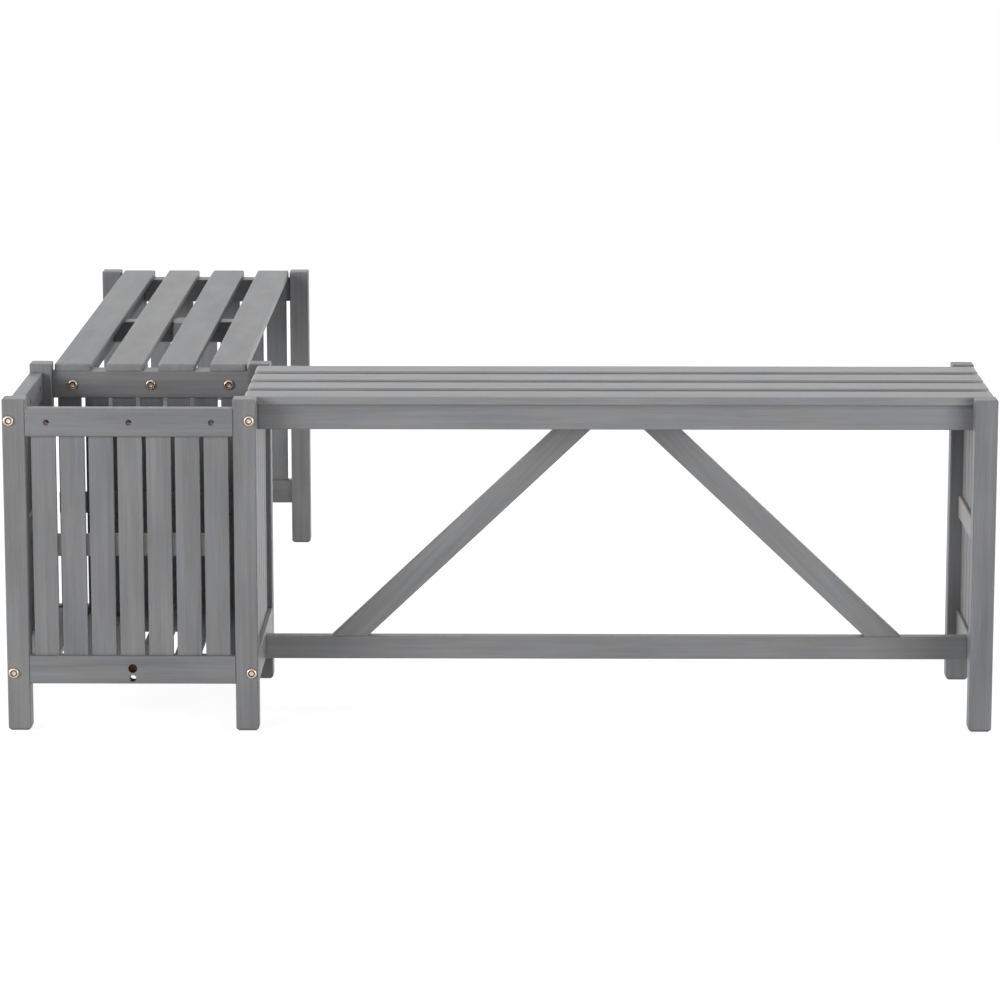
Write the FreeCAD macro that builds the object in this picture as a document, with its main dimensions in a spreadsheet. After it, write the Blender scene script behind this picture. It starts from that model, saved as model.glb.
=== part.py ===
import FreeCAD, Part
import os
import re
import Sketcher

# Corner bench of grey-stained hardwood: a square slatted planter box with a bench on two of its
# sides. X runs along the right bench, Y along the back bench and Z up from the ground.

SIZES = {
    # Whole object and its uprights
    "OverallLength": 1170,
    "PlanterWidth": 298.5,
    "LegHeight": 400,
    "PostSide": 27,
    "PostFootChamfer": 3,
    "PostEase": 1,
    # Slatted panels: two rails, upright slats housed in them and a batten behind the slats
    "RailThickness": 16,
    "RailHeight": 33.5,
    "RailTopDrop": 11,
    "LowRailBottom": 57.5,
    "BoardEase": 0.8,
    "SlatWidth": 29.2,
    "SlatGap": 4.7,
    "SlatThickness": 6,
    "SlatRecess": 6,
    "HousingWall": 1.9,
    "RowMargin": 1,
    "BattenHeight": 27,
    "BattenThickness": 4.5,
    # Joints between wooden pieces
    "JointClearance": 0.15,
    "TenonThickness": 6,
    "TenonShoulder": 5,
    "TenonWall": 2.7,
    "TenonFloor": 6,
    "TenonEndGap": 0.3,
    # Bolts, threaded inserts and dowels, and the holes for them
    "BoltRadius": 3,
    "BoltHoleRadius": 3.3,
    "BoltEndDistance": 25.25,
    "HeadRadius": 6.5,
    "HeadHeight": 3.5,
    "HeadEase": 1.8,
    "SocketWidth": 4,
    "SocketDepth": 2,
    "InsertRadius": 4.5,
    "ThreadGap": 0.1,
    "BoreFloor": 2,
    "BoreWall": 5,
    "BoreEndGap": 1,
    "CornerBoltTopRise": 19,
    "CornerBoltLowRise": 13,
    "LowHoleRadius": 4,
    "LowHoleRise": 6.4,
    "DowelRadius": 5,
    "DowelClearance": 0.2,
    "DowelRise": 18.4,
    "DowelFloor": 4,
    "DowelDepth": 15,
    # Planter floor
    "FloorSlatWidth": 29.5,
    "FloorSlatGap": 12.5,
    "FloorSlatThickness": 9,
    "FloorDrop": 1.5,
    "FloorEndGap": 0.5,
    "FloorBattenDepth": 15,
    "HeadClearance": 0.6,
    # Benches
    "SeatSlatWidth": 45,
    "SeatSlatGap": 19.6,
    "SeatSlatThickness": 9.5,
    "SeatEndInset": 0.3,
    "SeatCornerRadius": 3,
    "SeatEase": 1.5,
    "ApronHeight": 32,
    "ApronThickness": 16,
    "MidRailHeight": 28,
    "MidRailWidth": 28,
    "StretcherHeight": 28,
    "StretcherThickness": 16,
    "StretcherRise": 12.8,
    "BraceFootInset": 80.5,
    "BraceFootWidth": 44,
    "BraceTopLedge": 10.85,
}


def row(space, width, gap):
    """Count, pitch and whole span of the boards of one width that fill a space evenly."""
    pitch = f"({width} + {gap})"
    count = f"floor(({space} - 2 * RowMargin + {gap}) / {pitch})"
    return count, pitch, f"({count} * {pitch} - {gap})"


# Expressions worked out from the sizes, shared by the pieces that meet there
CLEAR_WIDTH = "(PlanterWidth - 2 * PostSide)"
RAIL_TOP = "(LegHeight - RailTopDrop)"
TOP_RAIL_LOW = f"({RAIL_TOP} - RailHeight)"
LOW_RAIL_TOP = "(LowRailBottom + RailHeight)"
SLAT_COUNT, SLAT_PITCH, SLAT_SPAN = row(CLEAR_WIDTH, "SlatWidth", "SlatGap")
SLAT_START = f"(({CLEAR_WIDTH} - {SLAT_SPAN}) / 2)"
HOUSING_DEPTH = "(RailHeight - DowelRise - DowelRadius - DowelClearance - HousingWall)"
POST_TENON = "(PostSide - RailThickness / 2 - BoltHoleRadius - TenonWall)"

RAIL_HOLE_HEIGHT = f"({RAIL_TOP} - RailHeight / 2)"
RAIL_HOLE_SPACING = f"({CLEAR_WIDTH} / 2 - BoltEndDistance)"
CORNER_HEIGHTS = (f"({TOP_RAIL_LOW} + CornerBoltTopRise)", "(LowRailBottom + CornerBoltLowRise)")
CORNER_BORE = "(BoltEndDistance - BoltHoleRadius - BoreWall)"
LOW_HOLE_HEIGHT = "(LowRailBottom + LowHoleRise)"
DOWEL_HEIGHT = "(LowRailBottom + DowelRise)"
DOWEL_RAIL_DEPTH = "(RailThickness - DowelFloor)"
INSERT_BORE_RADIUS = "(InsertRadius + JointClearance)"
DOWEL_BORE_RADIUS = "(DowelRadius + DowelClearance)"

BENCH_REACH = "(OverallLength - PlanterWidth)"
BENCH_CLEAR = f"({BENCH_REACH} - RailThickness)"
BENCH_MIDDLE = f"({BENCH_CLEAR} / 2)"
# The outer bolts of a row turn into the aprons' ends, and the middle one into the end rail between them
APRON_INSET = f"(PlanterWidth / 2 - {RAIL_HOLE_SPACING} - ApronThickness / 2)"
APRON_GAP = f"(2 * {RAIL_HOLE_SPACING} - ApronThickness)"
APRON_LOW = f"({RAIL_TOP} - ApronHeight)"
MID_RAIL_LOW = f"({RAIL_TOP} - MidRailHeight)"
FRAME_TENON = "(ApronThickness - TenonFloor)"
BENCH_BORE = "(ApronThickness - BoreFloor)"
STRETCHER_LOW = "(LowRailBottom + StretcherRise - StretcherHeight / 2)"
STRETCHER_TOP = "(LowRailBottom + StretcherRise + StretcherHeight / 2)"

X_AXIS = FreeCAD.Vector(1, 0, 0)
Y_AXIS = FreeCAD.Vector(0, 1, 0)
Z_AXIS = FreeCAD.Vector(0, 0, 1)
TINY = 1e-6
QUARTER_TURNS = {0: (1, 0), 90: (0, 1), 180: (-1, 0), 270: (0, -1)}
# Round pieces and bores that stay hidden in the wood have few sides, the bolts' heads more
HIDDEN_SIDES = 8
HEAD_SIDES = 24
SOCKET_SIDES = 6

doc = FreeCAD.newDocument("CornerBench")
bodies = []


def fill_sheet():
    """Writes each size and its name into the spreadsheet."""
    sheet = doc.addObject("Spreadsheet::Sheet", "Sizes")
    for line, (name, size) in enumerate(SIZES.items(), 1):
        sheet.set(f"A{line}", name)
        sheet.set(f"B{line}", str(size))
        sheet.setAlias(f"B{line}", name)
    doc.recompute()


def bind(item, target, expression):
    """Ties a property to an expression in which each capitalised word is a size of the sheet."""
    item.setExpression(target, re.sub(r"\b[A-Z]\w+", lambda word: "Sizes." + word.group(), expression))


def inside(frame, x, y, turn=0):
    """A frame at (x, y) of another frame, turned further about the upright axis."""
    yaw, frame_x, frame_y = frame
    cosine, sine = QUARTER_TURNS[yaw]
    moved_x = f"{frame_x} + ({cosine}) * ({x}) - ({sine}) * ({y})"
    moved_y = f"{frame_y} + ({sine}) * ({x}) + ({cosine}) * ({y})"
    return (yaw + turn) % 360, moved_x, moved_y


# Frames of the planter and the benches, measured from the planter's front left corner
PLANTER = (0, "0", "0")
PLANTER_MIDDLE = inside(PLANTER, "PlanterWidth / 2", "PlanterWidth / 2")
PANELS = {
    "front": inside(PLANTER, "PostSide", "0"),
    "right": inside(PLANTER, "PlanterWidth", "PostSide", 90),
    "back": inside(PLANTER, "PlanterWidth - PostSide", "PlanterWidth", 180),
    "left": inside(PLANTER, "0", "PlanterWidth - PostSide", 270),
}
BENCHES = {
    "right_bench": inside(PLANTER, "PlanterWidth", "0"),
    "back_bench": inside(PLANTER, "PlanterWidth", "PlanterWidth", 90),
}


def new_body(label, frame):
    """An empty body placed in a frame; the origin is the middle of the whole object's footprint."""
    body = doc.addObject("PartDesign::Body", label)
    body.Label = label
    body.AllowCompound = True
    yaw, x, y = frame
    body.Placement = FreeCAD.Placement(FreeCAD.Vector(), FreeCAD.Rotation(Z_AXIS, yaw))
    bind(body, "Placement.Base.x", f"{x} - (OverallLength + HeadHeight) / 2")
    bind(body, "Placement.Base.y", f"{y} - OverallLength / 2")
    bodies.append(body)
    return body


def origin_feature(body, role):
    """A plane or axis of the body's own origin."""
    return next(item for item in body.Origin.OriginFeatures if item.Role == role)


def new_sketch(body, role, offset="0"):
    """A sketch on one of the body's origin planes, moved along the plane's normal."""
    sketch = body.newObject("Sketcher::SketchObject", "Sketch")
    sketch.AttachmentSupport = [(origin_feature(body, role), "")]
    sketch.MapMode = "FlatFace"
    bind(sketch, "AttachmentOffset.Base.z", offset)
    return sketch


def dimension(sketch, kind, references, start, expression):
    """A named sketch dimension bound to an expression."""
    index = sketch.addConstraint(Sketcher.Constraint(kind, *references, start))
    name = f"{kind}{index}"
    sketch.renameConstraint(index, name)
    bind(sketch, "Constraints." + name, expression)


def set_point(sketch, line, end, start, x, y):
    """Places one end of a line by its distances from the sketch's origin."""
    dimension(sketch, "DistanceX", (-1, 1, line, end), start.x, x)
    dimension(sketch, "DistanceY", (-1, 1, line, end), start.y, y)


def closed_outline(sketch, corners):
    """Joins corners with lines; returns the number of the first line."""
    first = sketch.GeometryCount
    for corner, following in zip(corners, corners[1:] + corners[:1]):
        sketch.addGeometry(Part.LineSegment(corner, following))
    for step in range(len(corners)):
        following = first + (step + 1) % len(corners)
        sketch.addConstraint(Sketcher.Constraint("Coincident", first + step, 2, following, 1))
    return first


def rectangle(sketch, left, low, right, high):
    """A rectangle whose four sides stand at the given expressions."""
    corners = [FreeCAD.Vector(*place) for place in ((1, 1, 0), (2, 1, 0), (2, 2, 0), (1, 2, 0))]
    first = closed_outline(sketch, corners)
    for step, direction in enumerate(("Horizontal", "Vertical", "Horizontal", "Vertical")):
        sketch.addConstraint(Sketcher.Constraint(direction, first + step))
    set_point(sketch, first, 1, corners[0], left, low)
    set_point(sketch, first + 1, 2, corners[2], right, high)


def circles(sketch, centres, radius):
    """Circles of one radius at the given places."""
    start = FreeCAD.Vector(1, 1, 0)
    for x, y in centres:
        circle = sketch.addGeometry(Part.Circle(start, Z_AXIS, 1))
        dimension(sketch, "DistanceX", (-1, 1, circle, 3), start.x, x)
        dimension(sketch, "DistanceY", (-1, 1, circle, 3), start.y, y)
        dimension(sketch, "Radius", (circle,), 1, radius)


def pad(body, sketch, length, reverse=False, symmetric=False):
    """Adds material along the sketch's normal, against it, or to both sides."""
    feature = body.newObject("PartDesign::Pad", "Pad")
    feature.Profile = sketch
    feature.Reversed = reverse
    if symmetric:
        feature.SideType = "Symmetric"
    bind(feature, "Length", length)
    doc.recompute()


def volume(body):
    """The body's volume, 0 while it is empty."""
    return 0 if body.Shape.isNull() else body.Shape.Volume


def pocket(body, sketch, depth, along_normal=False):
    """Cuts against the sketch's normal or along it."""
    before = volume(body)
    feature = body.newObject("PartDesign::Pocket", "Pocket")
    feature.Profile = sketch
    feature.Reversed = along_normal
    bind(feature, "Length", depth)
    doc.recompute()
    if volume(body) > before - TINY:
        raise RuntimeError(f"a pocket of {body.Label} cuts nothing")


def prisms(body, kind, role, offset, centres, sides, radius, length):
    """Adds or cuts prisms along an origin plane's normal, each from the same distance off that plane."""
    before = volume(body)
    for x, y in centres:
        prism = body.newObject(f"PartDesign::{kind}Prism", kind)
        prism.AttachmentSupport = [(origin_feature(body, role), "")]
        prism.MapMode = "FlatFace"
        prism.Polygon = sides
        bind(prism, "Circumradius", radius)
        bind(prism, "Height", length)
        bind(prism, "AttachmentOffset.Base.x", x)
        bind(prism, "AttachmentOffset.Base.y", y)
        bind(prism, "AttachmentOffset.Base.z", offset)
        doc.recompute()
    if abs(volume(body) - before) < TINY:
        raise RuntimeError(f"the prisms of {body.Label} change nothing")


def bore(body, role, offset, centres, radius, depth, hidden=True):
    """Holes along an origin plane's normal, truly round where nothing hides them."""
    if hidden:
        prisms(body, "Subtractive", role, offset, centres, HIDDEN_SIDES, radius, depth)
    else:
        sketch = new_sketch(body, role, offset)
        circles(sketch, centres, radius)
        pocket(body, sketch, depth, along_normal=True)


def along(axis):
    """A test for straight edges that run along an axis."""
    return lambda edge: (edge.Vertexes[-1].Point - edge.Vertexes[0].Point).cross(axis).Length < TINY


def extent(body, axis):
    """The least and the greatest place that the body's corners reach along an axis."""
    places = [vertex.Point.dot(axis) for vertex in body.Tip.Shape.Vertexes]
    return min(places), max(places)


def in_planes(axis, *places):
    """A test for edges that lie in a plane across an axis, at any of the given places."""
    return lambda edge: any(
        all(abs(vertex.Point.dot(axis) - place) < TINY for vertex in edge.Vertexes) for place in places
    )


def ease(body, wanted, size, kind="Chamfer"):
    """Chamfers or fillets the wanted edges of the body so far."""
    base = body.Tip
    names = [f"Edge{number}" for number, edge in enumerate(base.Shape.Edges, 1) if wanted(edge)]
    feature = body.newObject("PartDesign::" + kind, kind)
    feature.Base = (base, names)
    bind(feature, "Radius" if kind == "Fillet" else "Size", size)
    doc.recompute()


def finish_pattern(body, pattern, originals):
    """Applies a pattern to some features, or to the whole body where none are given."""
    if originals:
        pattern.Originals = originals
    else:
        pattern.TransformMode = "Whole shape"
    body.Tip = pattern
    doc.recompute()


def repeat(body, axis, pitch, count, originals=()):
    """Repeats features, or the whole body, in a row."""
    pattern = body.newObject("PartDesign::LinearPattern", "Row")
    pattern.Direction = (origin_feature(body, axis), [""])
    pattern.Mode = "Spacing"
    bind(pattern, "Offset", pitch)
    bind(pattern, "Occurrences", count)
    finish_pattern(body, pattern, list(originals))


def mirror(body, plane):
    """Adds the mirror image of the whole body."""
    pattern = body.newObject("PartDesign::Mirrored", "Mirror")
    pattern.MirrorPlane = (plane, [""])
    finish_pattern(body, pattern, [])


def board(label, frame, length, thickness, low, high):
    """A board along X, its near face at Y = 0, with eased long edges."""
    body = new_body(label, frame)
    profile = new_sketch(body, "YZ_Plane")
    rectangle(profile, "0", low, thickness, high)
    pad(body, profile, length)
    ease(body, along(X_AXIS), "BoardEase")
    return body


def add_tenons(body, length, thickness, low, high, reach):
    """A stub tenon in the middle of each end of a board."""
    sketch = new_sketch(body, "YZ_Plane", f"-{reach}")
    near = f"({thickness} - TenonThickness) / 2"
    rectangle(sketch, near, f"{low} + TenonShoulder", f"{near} + TenonThickness", f"{high} - TenonShoulder")
    pad(body, sketch, f"{length} + 2 * {reach}")


def cut_mortises(body, role, offset, places, reach, along_normal=False):
    """Mortises that take such tenons: each place gives its middle line and the board's low and high."""
    sketch = new_sketch(body, role, offset)
    half = "(TenonThickness / 2 + JointClearance)"
    for middle, low, high in places:
        floor = f"{low} + TenonShoulder - JointClearance"
        ceiling = f"{high} - TenonShoulder + JointClearance"
        rectangle(sketch, f"{middle} - {half}", floor, f"{middle} + {half}", ceiling)
    pocket(body, sketch, f"{reach} + TenonEndGap", along_normal)


def post(label, frame, left, bolted):
    """An upright at the left or right end of a panel, mortised for the panel's rails where it faces them."""
    body = new_body(label, frame)
    plan = new_sketch(body, "XY_Plane")
    sides = ("-PostSide", "0") if left else ("0", "PostSide")
    rectangle(plan, sides[0], "0", sides[1], "PostSide")
    pad(body, plan, "LegHeight")
    foot_level, top_level = extent(body, Z_AXIS)
    ease(body, in_planes(Z_AXIS, foot_level), "PostFootChamfer")
    top = in_planes(Z_AXIS, top_level)
    upright = along(Z_AXIS)
    ease(body, lambda edge: top(edge) or upright(edge), "PostEase")
    rails = (("LowRailBottom", LOW_RAIL_TOP), (TOP_RAIL_LOW, RAIL_TOP))
    places = [("RailThickness / 2", low, high) for low, high in rails]
    cut_mortises(body, "YZ_Plane", "0", places, POST_TENON, along_normal=not left)
    if bolted:
        across = "RailThickness / 2 - PostSide" if left else "PostSide - RailThickness / 2"
        centres = [(across, height) for height in CORNER_HEIGHTS]
        bore(body, "XZ_Plane", "-PostSide", centres, "BoltHoleRadius", "PostSide")


def house_slats(body, height, upward):
    """A row of mortises for the slats' ends, in a rail's lower or upper edge."""
    sketch = new_sketch(body, "XY_Plane", height)
    near, far = "SlatRecess - JointClearance", "SlatRecess + SlatThickness + JointClearance"
    right = f"{SLAT_START} + SlatWidth + JointClearance"
    rectangle(sketch, f"{SLAT_START} - JointClearance", near, right, far)
    pocket(body, sketch, HOUSING_DEPTH, along_normal=upward)
    repeat(body, "X_Axis", SLAT_PITCH, SLAT_COUNT, [body.Tip])


def bore_ends(body, length, centres, radius, depth):
    """Bores into both ends of a board."""
    for offset in ("0", f"{length} - {depth}"):
        bore(body, "YZ_Plane", offset, centres, radius, depth)


def bench_bolt_row(middle):
    """Places of the three bolts in a row that hold a bench's end."""
    return [(f"{middle} + ({step}) * {RAIL_HOLE_SPACING}", RAIL_HOLE_HEIGHT) for step in (-1, 0, 1)]


def panel_rail(label, frame, section, bolt_height, slat_side, bolted):
    """A panel's rail, housed for the slats; bolts or tenons hold it between the uprights."""
    rail = board(label, frame, CLEAR_WIDTH, "RailThickness", *section)
    if bolted:
        centre = ("RailThickness / 2", bolt_height)
        bore_ends(rail, CLEAR_WIDTH, [centre], INSERT_BORE_RADIUS, CORNER_BORE)
    else:
        add_tenons(rail, CLEAR_WIDTH, "RailThickness", *section, POST_TENON)
    house_slats(rail, slat_side, upward=slat_side == TOP_RAIL_LOW)
    return rail


def panel(prefix, frame, bolted=False, carries_bench=True, dowel_inside=False):
    """A slatted panel with the holes that hold a bench, which stay open where there is none."""
    top_section, low_section = (TOP_RAIL_LOW, RAIL_TOP), ("LowRailBottom", LOW_RAIL_TOP)
    top_bolt, low_bolt = CORNER_HEIGHTS
    top_rail = panel_rail(prefix + "_top_rail", frame, top_section, top_bolt, TOP_RAIL_LOW, bolted)
    low_rail = panel_rail(prefix + "_bottom_rail", frame, low_section, low_bolt, LOW_RAIL_TOP, bolted)
    middle = f"{CLEAR_WIDTH} / 2"
    inner_face = "-RailThickness"
    bolt_row, low_hole, dowel = bench_bolt_row(middle), [(middle, LOW_HOLE_HEIGHT)], [(middle, DOWEL_HEIGHT)]
    bore(top_rail, "XZ_Plane", inner_face, bolt_row, "BoltHoleRadius", "RailThickness", carries_bench)
    bore(low_rail, "XZ_Plane", inner_face, low_hole, "LowHoleRadius", "RailThickness", carries_bench)
    dowel_start = inner_face if dowel_inside else f"-{DOWEL_RAIL_DEPTH}"
    bore(low_rail, "XZ_Plane", dowel_start, dowel, DOWEL_BORE_RADIUS, DOWEL_RAIL_DEPTH, carries_bench)
    panel_filling(prefix, frame)


def panel_filling(prefix, frame):
    """The upright slats, and the batten behind them at mid height."""
    slats = new_body(prefix + "_slats", frame)
    foot = f"{LOW_RAIL_TOP} - {HOUSING_DEPTH} + JointClearance"
    section = new_sketch(slats, "XY_Plane", foot)
    far = "SlatRecess + SlatThickness"
    rectangle(section, SLAT_START, "SlatRecess", f"{SLAT_START} + SlatWidth", far)
    head = f"{TOP_RAIL_LOW} + {HOUSING_DEPTH} - JointClearance"
    pad(slats, section, f"{head} - ({foot})")
    repeat(slats, "X_Axis", SLAT_PITCH, SLAT_COUNT)

    mid_height = f"({LOW_RAIL_TOP} + {TOP_RAIL_LOW}) / 2"
    low, high = f"{mid_height} - BattenHeight / 2", f"{mid_height} + BattenHeight / 2"
    behind = inside(frame, SLAT_START, far)
    board(prefix + "_mid_batten", behind, SLAT_SPAN, "BattenThickness", low, high)


def planter():
    """Four posts, four panels and a slatted floor."""
    for side in ("front", "back"):
        left_post, right_post = ("left", "right") if side == "front" else ("right", "left")
        post(f"planter_post_{side}_{left_post}", PANELS[side], left=True, bolted=True)
        right_end = inside(PANELS[side], CLEAR_WIDTH, "0")
        post(f"planter_post_{side}_{right_post}", right_end, left=False, bolted=True)
    for side, frame in PANELS.items():
        panel(f"planter_{side}", frame, side in ("left", "right"), side in ("right", "back"))
    planter_floor()


def planter_floor():
    """Boards that run front to back on a batten along the front and one along the back rail."""
    top = f"({LOW_RAIL_TOP} - FloorDrop)"
    underside = f"({top} - FloorSlatThickness)"
    count, pitch, span = row(CLEAR_WIDTH, "FloorSlatWidth", "FloorSlatGap")
    length = "PlanterWidth - 2 * (RailThickness + FloorEndGap)"
    start = inside(PLANTER, f"(PlanterWidth + {span}) / 2", "RailThickness + FloorEndGap", 90)
    slats = board("planter_floor_slats", start, length, "FloorSlatWidth", underside, top)
    repeat(slats, "Y_Axis", pitch, count)

    batten_low = f"({LOW_HOLE_HEIGHT} + HeadRadius + HeadClearance)"
    for side in ("front", "back"):
        start = inside(PANELS[side], "FloorEndGap", "RailThickness")
        length = f"{CLEAR_WIDTH} - 2 * FloorEndGap"
        board(f"planter_floor_batten_{side}", start, length, "FloorBattenDepth", batten_low, underside)


def seat_slats(prefix, frame):
    """Seat boards with rounded corners, from the planter's rail to the far panel's rail."""
    slats = new_body(prefix + "_seat_slats", frame)
    plan = new_sketch(slats, "XY_Plane", RAIL_TOP)
    count, pitch, span = row(CLEAR_WIDTH, "SeatSlatWidth", "SeatSlatGap")
    start = f"(PlanterWidth - {span}) / 2"
    end = f"{BENCH_CLEAR} + RailThickness - SeatEndInset"
    rectangle(plan, "SeatEndInset - RailThickness", start, end, f"{start} + SeatSlatWidth")
    pad(slats, plan, "SeatSlatThickness")
    ease(slats, along(Z_AXIS), "SeatCornerRadius", "Fillet")
    ease(slats, in_planes(Z_AXIS, extent(slats, Z_AXIS)[1]), "SeatEase")
    repeat(slats, "Y_Axis", pitch, count)


def seat_frame(prefix, frame):
    """The rails under the seat slats: two aprons, and two end rails and a cross rail between them."""
    section = (APRON_LOW, RAIL_TOP)
    front = inside(frame, "0", APRON_INSET)
    back = inside(frame, BENCH_CLEAR, f"PlanterWidth - {APRON_INSET}", 180)
    for side, start in (("outer", front), ("inner", back)):
        apron = board(f"{prefix}_apron_{side}", start, BENCH_CLEAR, "ApronThickness", *section)
        middle = (f"{BENCH_CLEAR} / 2", MID_RAIL_LOW, RAIL_TOP)
        cut_mortises(apron, "XZ_Plane", "-ApronThickness", [middle], FRAME_TENON, along_normal=True)
        end_bolt = [("ApronThickness / 2", RAIL_HOLE_HEIGHT)]
        bore_ends(apron, BENCH_CLEAR, end_bolt, INSERT_BORE_RADIUS, BENCH_BORE)

    between = f"{APRON_INSET} + ApronThickness"
    near_end = inside(frame, "ApronThickness", between, 90)
    far_end = inside(frame, f"{BENCH_CLEAR} - ApronThickness", f"PlanterWidth - ({between})", 270)
    for side, start in (("near", near_end), ("far", far_end)):
        rail = board(f"{prefix}_end_rail_{side}", start, APRON_GAP, "ApronThickness", *section)
        middle_bolt = [(f"{APRON_GAP} / 2", RAIL_HOLE_HEIGHT)]
        bore(rail, "XZ_Plane", "-ApronThickness", middle_bolt, INSERT_BORE_RADIUS, BENCH_BORE)

    start = inside(frame, f"{BENCH_MIDDLE} + MidRailWidth / 2", between, 90)
    section = (MID_RAIL_LOW, RAIL_TOP)
    cross_rail = board(f"{prefix}_mid_rail", start, APRON_GAP, "MidRailWidth", *section)
    add_tenons(cross_rail, APRON_GAP, "MidRailWidth", *section, FRAME_TENON)


def stretcher(prefix, frame):
    """The low rail between the panels, bored at both ends for an insert and a dowel."""
    start = inside(frame, "0", "(PlanterWidth - StretcherThickness) / 2")
    section = ("StretcherThickness", STRETCHER_LOW, STRETCHER_TOP)
    rail = board(prefix + "_stretcher", start, BENCH_CLEAR, *section)
    middle = "StretcherThickness / 2"
    bore_ends(rail, BENCH_CLEAR, [(middle, LOW_HOLE_HEIGHT)], INSERT_BORE_RADIUS, BENCH_BORE)
    bore_ends(rail, BENCH_CLEAR, [(middle, DOWEL_HEIGHT)], DOWEL_BORE_RADIUS, "DowelDepth")


def brace(label, frame):
    """A slanted brace: level on the stretcher, plumb against the cross rail, level under the seat."""
    body = new_body(label, frame)
    sketch = new_sketch(body, "XZ_Plane")
    rough_shape = ((5, 0, 0), (4, 0, 0), (1, 3, 0), (1, 4, 0), (2, 4, 0))
    corners = [FreeCAD.Vector(*place) for place in rough_shape]
    foot, inner_edge, plumb_cut, level_cut, outer_edge = range(5)
    closed_outline(sketch, corners)
    outer_foot = f"{BENCH_MIDDLE} - BraceFootInset"
    rail_face = "MidRailWidth / 2"
    set_point(sketch, foot, 1, corners[0], outer_foot, STRETCHER_TOP)
    set_point(sketch, foot, 2, corners[1], f"{outer_foot} - BraceFootWidth", STRETCHER_TOP)
    set_point(sketch, level_cut, 1, corners[3], rail_face, RAIL_TOP)
    set_point(sketch, level_cut, 2, corners[4], f"{rail_face} + BraceTopLedge", RAIL_TOP)
    sketch.addConstraint(Sketcher.Constraint("Vertical", plumb_cut))
    sketch.addConstraint(Sketcher.Constraint("Parallel", inner_edge, outer_edge))
    pad(body, sketch, "StretcherThickness", symmetric=True)
    longest = max(edge.Length for edge in body.Shape.Edges)
    ease(body, lambda edge: edge.Length > longest / 2, "BoardEase")


def bench(prefix, frame):
    """A bench from the planter to a slatted panel between two legs."""
    seat_slats(prefix, frame)
    seat_frame(prefix, frame)
    stretcher(prefix, frame)
    middle = inside(frame, BENCH_MIDDLE, "PlanterWidth / 2")
    brace(prefix + "_brace_far", middle)
    brace(prefix + "_brace_near", inside(middle, "0", "0", 180))
    end = inside(frame, BENCH_REACH, "PostSide", 90)
    panel(prefix + "_end", end, dowel_inside=True)
    post(prefix + "_leg_outer", end, left=True, bolted=False)
    post(prefix + "_leg_inner", inside(end, CLEAR_WIDTH, "0"), left=False, bolted=False)


def bolt(body, role, face, centre, shank, head_along_normal):
    """A bolt whose head stands on one side of a face, with a hexagonal socket, and its shank on the other."""
    head_start = face if head_along_normal else f"{face} - HeadHeight"
    shank_start = f"{face} - {shank}" if head_along_normal else face
    prisms(body, "Additive", role, head_start, [centre], HEAD_SIDES, "HeadRadius", "HeadHeight")
    across = body.Tip.Placement.Rotation.multVec(Z_AXIS)
    inner_end, outer_end = extent(body, across)
    ease(body, in_planes(across, outer_end if head_along_normal else inner_end), "HeadEase")
    prisms(body, "Additive", role, shank_start, [centre], HIDDEN_SIDES, "BoltRadius", shank)
    socket_start = f"{face} + HeadHeight - SocketDepth" if head_along_normal else head_start
    socket_radius = "SocketWidth / sqrt(3)"
    prisms(body, "Subtractive", role, socket_start, [centre], SOCKET_SIDES, socket_radius, "SocketDepth")


def insert(body, role, start, centre, length):
    """A threaded tube that a bolt's shank fits."""
    prisms(body, "Additive", role, start, [centre], HIDDEN_SIDES, "InsertRadius", length)
    prisms(body, "Subtractive", role, start, [centre], HIDDEN_SIDES, "BoltRadius + ThreadGap", length)


def to_each_corner(body):
    """Repeats what stands at the front left corner: at the post's foot and at the other three posts."""
    repeat(body, "Z_Axis", f"{CORNER_HEIGHTS[0]} - {CORNER_HEIGHTS[1]}", "2")
    mirror(body, origin_feature(body, "YZ_Plane"))
    mirror(body, origin_feature(body, "XZ_Plane"))


def corner_fasteners():
    """Bolts through the posts, and the inserts for them in the side rails' ends."""
    centre = ("(RailThickness - PlanterWidth) / 2", CORNER_HEIGHTS[1])
    front_face = "PlanterWidth / 2"
    insert_length = f"({CORNER_BORE} - BoreEndGap)"
    shank = f"(PostSide + {insert_length})"

    body = new_body("corner_bolts", PLANTER_MIDDLE)
    bolt(body, "XZ_Plane", front_face, centre, shank, True)
    to_each_corner(body)

    body = new_body("corner_inserts", PLANTER_MIDDLE)
    insert(body, "XZ_Plane", f"{front_face} - {shank}", centre, insert_length)
    to_each_corner(body)


def to_each_bench_end(body, in_row):
    """Repeats a fastener in its row, at the right bench's far end and at the back bench."""
    if in_row:
        repeat(body, "Y_Axis", RAIL_HOLE_SPACING, "3")
    middle = body.newObject("PartDesign::Plane", "BenchMiddle")
    middle.AttachmentSupport = [(origin_feature(body, "YZ_Plane"), "")]
    middle.MapMode = "FlatFace"
    bind(middle, "AttachmentOffset.Base.z", f"PlanterWidth / 2 + {BENCH_MIDDLE}")
    mirror(body, middle)
    turn = body.newObject("PartDesign::PolarPattern", "Turn")
    turn.Axis = (origin_feature(body, "Z_Axis"), [""])
    turn.Mode = "Spacing"
    turn.Offset = 90
    turn.Occurrences = 2
    finish_pattern(body, turn, [])


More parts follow.
